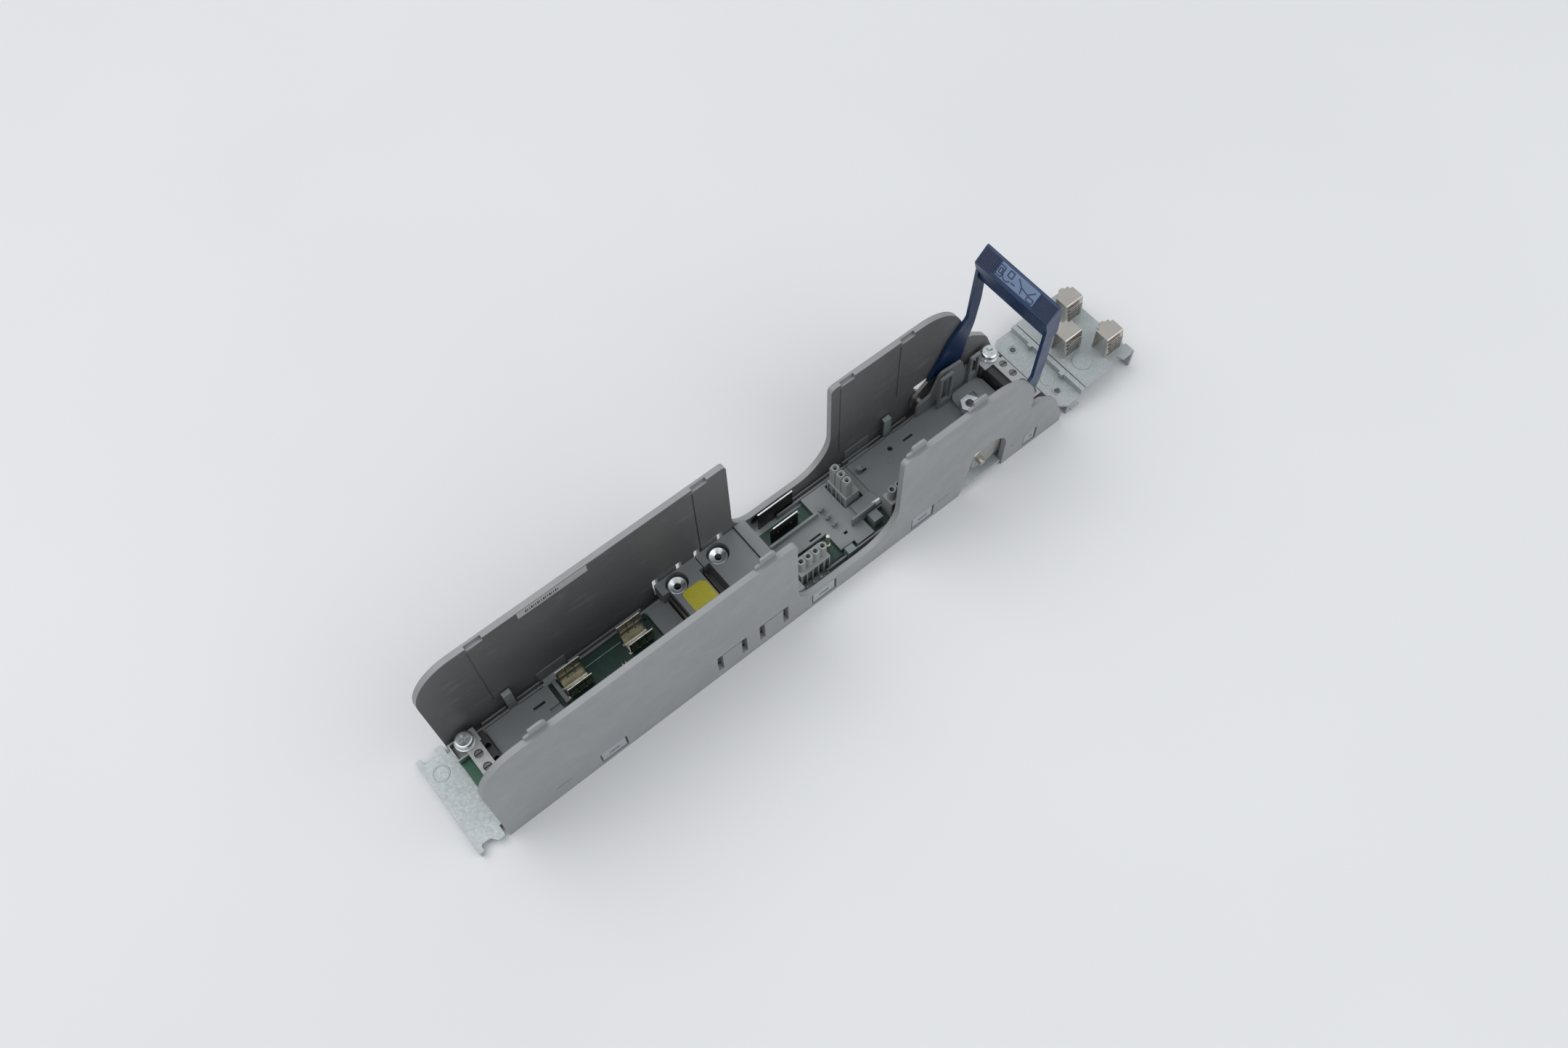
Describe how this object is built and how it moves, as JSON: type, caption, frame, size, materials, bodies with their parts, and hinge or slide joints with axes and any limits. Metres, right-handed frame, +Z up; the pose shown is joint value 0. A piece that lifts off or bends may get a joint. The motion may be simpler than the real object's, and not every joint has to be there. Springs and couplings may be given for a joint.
{
  "type": "fuse box panel",
  "caption": "Plug-on drive mounting rack with a steel back plate, plastic side walls, fuse clips, terminals and connectors, cable shield clamps, and a hinged locking handle.",
  "frame": {"origin": "bottom centre of the rack's overall box, lying on its back", "axes": "+X along the rack from the lower flange to the shield plate, +Y across it to the far side wall, +Z up from the mounting surface"},
  "size_m": [0.457, 0.062, 0.1233],
  "materials": {
    "galvanised": "galvanised sheet with a fine spangle, satin",
    "wall_grey": "fine moulded texture, matt",
    "cover_grey": "fine moulded texture, matt",
    "black_plastic": "matt",
    "handle_blue": "satin moulded plastic",
    "panel_blue": "satin film",
    "spring_nickel": "warm nickel plate, half gloss",
    "lever_steel": "zinc plated, satin",
    "screw_steel": "zinc plated, satin",
    "clip_tin": "tin plate, slightly yellow",
    "bar_copper": "plain",
    "board_green": "solder mask, half gloss",
    "connector_grey": "moulded, matt",
    "label_white": "paper film, matt",
    "caution_yellow": "paper film, matt"
  },
  "bodies": {
    "rack": {"back_plate": "galvanised", "board_posts": "black_plastic", "bus_bars": "bar_copper", "bus_block": "cover_grey", "bus_bush_1": "screw_steel", "bus_bush_2": "screw_steel", "caution_patch": "caution_yellow", "coding_blocks": "black_plastic", "contact_pin": "clip_tin", "contact_springs": "galvanised", "earth_nut": "screw_steel", "four_pole_connector": "connector_grey", "fuse_board": "board_green", "fuse_clip_1": "clip_tin", "fuse_clip_2": "clip_tin", "fuse_clip_3": "clip_tin", "fuse_clip_4": "clip_tin", "lower_board": "board_green", "lower_clamp_body": "black_plastic", "lower_clamp_plate": "screw_steel", "lower_cover": "cover_grey", "lower_earth_screw": "screw_steel", "lower_terminal_block": "black_plastic", "lower_terminal_screws": "screw_steel", "middle_cover": "cover_grey", "pivot_pins": "lever_steel", "rating_label": "label_white", "shield_clamp_1": "spring_nickel", "shield_clamp_2": "spring_nickel", "shield_clamp_3": "spring_nickel", "shield_plate": "galvanised", "side_wall_far": "wall_grey", "side_wall_near": "wall_grey", "signal_board": "board_green", "snap_hooks": "cover_grey", "three_pole_connector": "connector_grey", "two_pole_connector": "connector_grey", "upper_bracket": "galvanised", "upper_clamp_body": "black_plastic", "upper_clamp_plate": "screw_steel", "upper_cover": "cover_grey", "upper_earth_screw": "screw_steel", "upper_terminal_block": "black_plastic", "upper_terminal_screws": "screw_steel"},
    "handle": {"handle_frame": "handle_blue", "handle_levers": "lever_steel", "handle_panel": "panel_blue"}
  },
  "joints": [
    {"name": "handle_hinge", "type": "hinge", "parent": "rack", "child": "handle", "pos_m": [0.1075, 0, 0.0185], "axis": [0, -1, 0], "range_deg": [0, 95]}
  ]
}
